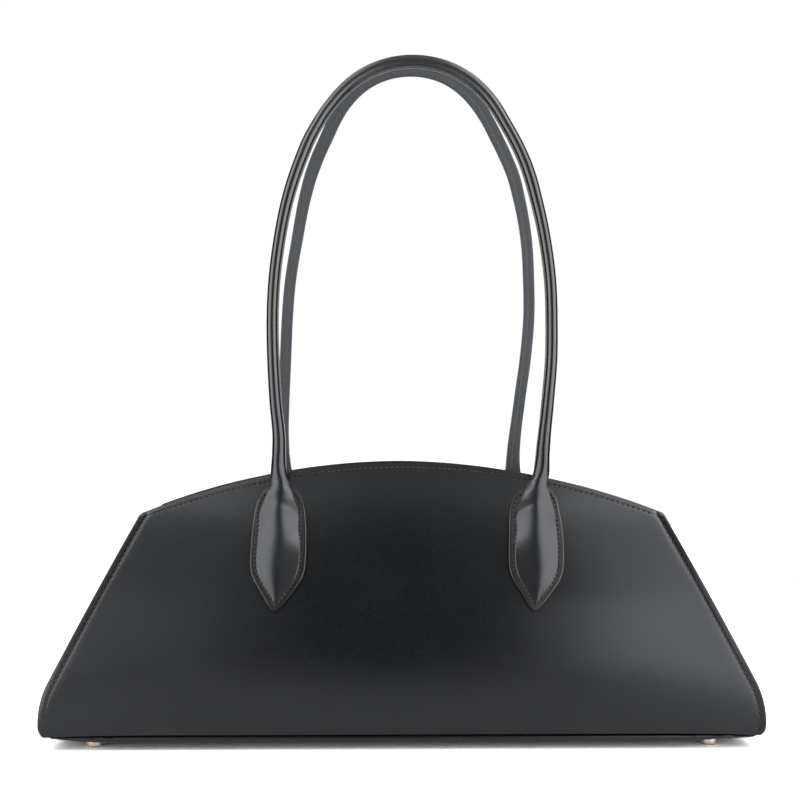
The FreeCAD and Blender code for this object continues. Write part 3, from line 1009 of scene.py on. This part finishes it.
# Length and thickness of a stitch
side_stitch = 2.3, 1.15
mouth_stitch = 2.2, 1.6
tab_stitch = 1.7, 1.35
mouth_end = 149.0
mouth_sink, inner_rise, tab_rise = 0.1, 0.1, 0.3
tab_seam_top = 146.0
# Height on a tab, then how far the seam is from the inner and the outer edge
tab_seam = np.array([(108, 3.0, 3.0), (118, 3.9, 3.0), (128, 3.9, 3.0), (136, 2.1, 2.1)])


def waxed_thread(name, dark, light, roughness):
    # Twisted thread drawn through wax
    return flecked(name, dark, light, roughness, 0.14, 2200.0, 2.0, 0.6, 0.1)


black_thread = waxed_thread("black_thread", (0.004, 0.004, 0.0045), (0.009, 0.009, 0.01), 0.22)
# A duller copy of the thread for the mouth row; its darker colour is painted shade, standing in for the
# shade of the stitch holes
matt_thread_painted_shade = waxed_thread("matt_thread_painted_shade", (0.003, 0.003, 0.0033), (0.006, 0.006, 0.0066), 0.5)
lay_down()
bpy.ops.mesh.primitive_uv_sphere_add(segments=8, ring_count=6, radius=0.5, rotation=(0, math.pi / 2, 0))
bpy.ops.object.transform_apply(location=False, rotation=True, scale=False)
stitch = bpy.context.object
stitch_shape = points_of(stitch) * MM
stitch_shape[:, 0] = np.sign(stitch_shape[:, 0]) * np.abs(2 * stitch_shape[:, 0]) ** 0.7 / 2
stitch_faces = [tuple(face.vertices) for face in stitch.data.polygons]
bpy.data.objects.remove(stitch)


def sewn_row(name, rows, thread_finish):
    # One stitch copied along rows of places, each with the way it runs and the way out of the leather
    places, faces = [], []
    for spot, along, out, length, thread in rows:
        along = along / np.linalg.norm(along)
        out = out - along * (out @ along)
        out = out / np.linalg.norm(out)
        across = np.cross(out, along)
        lay = along * math.cos(stitch_slant) + across * math.sin(stitch_slant)
        cross = np.cross(out, lay)
        first = sum(len(shape) for shape in places)
        shape = stitch_shape * (length, thread, thread)
        places.append(spot + shape[:, :1] * lay + shape[:, 1:2] * cross + shape[:, 2:] * out)
        faces += [tuple(corner + first for corner in face) for face in stitch_faces]
    mesh = bpy.data.meshes.new(name)
    mesh.from_pydata((np.concatenate(places) * MM).tolist(), [], faces)
    row = bpy.data.objects.new(name, mesh)
    bpy.context.scene.collection.objects.link(row)
    take_up(row)
    bpy.ops.object.shade_smooth()
    row.data.materials.append(thread_finish)
    return row


def spaced(path, pitch):
    # Even places along a line of points in X and Z, with the way it runs
    length = np.hypot(*np.diff(path, axis=0).T).sum()
    count = int(length / pitch)
    share = (np.arange(count) + 0.5) / count
    ahead, behind = (along_path(path, share + step / count) for step in (0.2, -0.2))
    return zip(along_path(path, share), ahead - behind)


def on_face(x, z):
    # The place on the front panel's outer face
    return np.array([x, -float(panel_face(np.array([x]), np.array([z]))[0]), z])


def laid_on(x, z, dx, dz):
    # The way a stitch runs on the front panel, and the way out of the leather there
    lean = float(panel_slope(x, z))
    return np.array([dx, math.tan(lean) * dz, dz]), np.array([0.0, -math.cos(lean), math.sin(lean)])


def on_panel(path, pitch, size, sink=0.0):
    # Stitches on the front panel along a line
    rows = []
    for (x, z), (dx, dz) in spaced(path, pitch):
        run, out = laid_on(x, z, dx, dz)
        rows.append((on_face(x, z) - out * sink, run, out, *size))
    return rows


seam_heights = np.linspace(seam_start, seam_end, 80)
right_seam = np.stack([side_x(seam_heights, side_seam), seam_heights], axis=1)
side_rows = []
for seam in (right_seam, right_seam * (-1, 1)):
    side_rows += on_panel(seam, side_pitch, side_stitch)
mouth_x = np.linspace(-mouth_end, mouth_end, 120)
mouth_seam = np.stack([mouth_x, top_z(mouth_x, top_seam)], axis=1)
mouth_rows = on_panel(mouth_seam, mouth_pitch, mouth_stitch, mouth_sink)
for (x, z), (dx, dz) in spaced(mouth_seam, inner_pitch):
    run, out = laid_on(x, z, dx, dz)
    spot = np.array([x, flange_face - panel_reach(x, z) + inner_rise, z])
    mouth_rows.append((spot, run, -out, *side_stitch))
stitching = [
    sewn_row("front_side_stitches", side_rows, black_thread),
    sewn_row("front_mouth_stitches", mouth_rows, matt_thread_painted_shade),
]
stitching += [settled(turned_copy(row, row.name.replace("front", "rear"))) for row in stitching]

tab_rows = []
for side, column in ((-1, 1), (1, 2)):
    z = np.linspace(81.2, 147.0, 160)
    row_inset = np.interp(z, tab_seam[:, 0], tab_seam[:, column])
    wide = leaf_half_width(z)
    slant = np.gradient(wide, z)
    norm = np.hypot(1, slant)
    path = np.stack([wide - row_inset / norm, z + row_inset * slant / norm], axis=1)
    path = path[(path[:, 0] > 0.9) & (path[:, 1] < tab_seam_top)]
    for (u, z), (du, dz) in spaced(path * (side, 1), tab_pitch):
        run, out = laid_on(leg_x + u, z, du, dz)
        tab_rows.append((on_face(leg_x + u, z) + out * (leaf_edge + tab_rise), run, out))


def tab_stitches(name, turn, sway):
    # Both tabs' seams on one side of the bag
    rows = []
    for leg in (turn, -turn):
        mirror = (leg, turn, 1)
        for spot, along, out in tab_rows:
            moved = swayed(spot[None] * mirror, sway)[0]
            rows.append((moved, along * mirror, out * mirror, *tab_stitch))
    return sewn_row(name, rows, black_thread)


stitching.append(tab_stitches("front_tab_stitches", 1, front_sway))
stitching.append(tab_stitches("rear_tab_stitches", -1, rear_sway))
for row in stitching:
    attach(row, "bag")


# Floor and studio: a white table top, tall softboxes at both sides and behind, three overhead, a dim room.
# Camera rays see the room as white, and the table keeps the shadow under the bag.
# The camera stands where the photograph was taken, a little left of the middle.
def white_table(name):
    # Pale under the camera and white far away; to the light that it throws back on the bag it is greyer,
    # with painted shade in front of the camera
    material, shade, where = finish_called(name)
    seen = shade.node("ShaderNodeLightPath", output=0)
    away = shade.node("ShaderNodeVectorMath", {"operation": "LENGTH"}, {0: where}, output=1)
    ramp = {"interpolation_type": "SMOOTHSTEP"}
    far = shade.node("ShaderNodeMapRange", ramp, {0: away, 1: 0.25, 2: 0.8, 3: 0.0, 4: 1.0})
    glow = {"Color": (1.0, 1.0, 1.0, 1.0), "Strength": seen * far}
    # Painted shade: for the light that the table throws back, it is darkest round a spot in front of the
    # camera, standing in for the shade of the camera and its stand
    aside = shade.node("ShaderNodeMapping", None, {0: where, 1: (0.0, 1.0, 0.0), 3: (3.2, 1.0, 1.0)})
    before = shade.node("ShaderNodeVectorMath", {"operation": "LENGTH"}, {0: aside}, output=1)
    plain = shade.node("ShaderNodeMapRange", ramp, {0: before, 1: 0.4, 2: 1.1, 3: 0.1, 4: 0.66})
    lit = plain + seen * (1.5 - plain)
    lit = shade.node("ShaderNodeCombineColor", None, {0: lit, 1: lit, 2: lit})
    cover = shade.node("ShaderNodeBsdfDiffuse", None, {"Color": lit})
    both = {0: cover, 1: shade.node("ShaderNodeEmission", None, glow)}
    shade.node("ShaderNodeOutputMaterial", None, {"Surface": shade.node("ShaderNodeAddShader", None, both)})
    return material


lay_down()
bpy.ops.mesh.primitive_plane_add(size=1)
table = bpy.context.object
table.name = "table_top"
table.scale = (0.9, 8.0, 1.0)
bpy.ops.object.transform_apply(location=False, rotation=False, scale=True)
table.data.materials.append(white_table("white_table"))

world = bpy.data.worlds.new("white_room")
world.use_nodes = True
world.node_tree.nodes.clear()
bpy.context.scene.world = world
room = Shade(world.node_tree)
seen = room.node("ShaderNodeLightPath", output=0)
light = room.node("ShaderNodeBackground", None, {"Color": (1, 1, 1, 1), "Strength": seen * 0.95 + 0.05})
room.node("ShaderNodeOutputWorld", None, {"Surface": light})


def softbox(name, place, aim, width, height, radiance):
    # A lit panel of even brightness that faces a point
    lamp = bpy.data.lights.new(name, "AREA")
    lamp.shape = "RECTANGLE"
    lamp.size, lamp.size_y = width, height
    lamp.energy = radiance * math.pi * width * height
    box = bpy.data.objects.new(name, lamp)
    bpy.context.scene.collection.objects.link(box)
    box.location = place
    box.rotation_euler = (Vector(aim) - Vector(place)).to_track_quat("-Z", "Y").to_euler()
    box.visible_camera = False


def upright_box(name, start, stop, radiance, distance=1.3, low=0.03, high=1.7):
    # A tall softbox between two directions from the front, in degrees
    middle, half = math.radians((start + stop) / 2), math.radians((stop - start) / 2)
    height = (low + high) / 2
    place = (distance * math.sin(middle), -distance * math.cos(middle), height)
    softbox(name, place, (0, 0, height), 2 * distance * math.tan(half), high - low, radiance)


upright_box("left_low_softbox", -34, -15, 0.85, high=0.55)
upright_box("left_inner_softbox", -34, -13.5, 0.55, low=0.55, high=1.45)
upright_box("left_softbox", -78, -34, 3.4, low=-0.25)
upright_box("right_low_softbox", 16.3, 32, 2.45, low=-0.25, high=0.5)
upright_box("right_inner_softbox", 19, 32, 1.82, low=0.5, high=1.45)
upright_box("right_softbox", 32, 78, 3.6, low=-0.25)
upright_box("back_softbox", 145, 215, 1.0)
softbox("top_left_softbox", (-0.8, -0.45, 1.6), (-0.8, -0.45, 0), 1.0, 2.0, 1.9)
softbox("top_right_softbox", (0.84, -0.45, 1.6), (0.84, -0.45, 0), 0.92, 2.0, 2.5)
softbox("top_middle_softbox", (0, -0.35, 1.6), (0, -0.35, 0), 0.6, 1.8, 0.36)

view_turn = math.radians(-0.8)
view_distance = 0.753
eye_height = 0.2022
lens = bpy.data.cameras.new("photo_camera")
lens.sensor_width = 36.0
lens.lens = 54.2
lens.shift_x = -0.0021
camera = bpy.data.objects.new("photo_camera", lens)
bpy.context.scene.collection.objects.link(camera)
camera.location = (math.sin(view_turn) * view_distance, -math.cos(view_turn) * view_distance, eye_height)
camera.rotation_euler = (math.pi / 2, 0, view_turn)
bpy.context.scene.camera = camera
bpy.context.scene.view_settings.view_transform = "Standard"
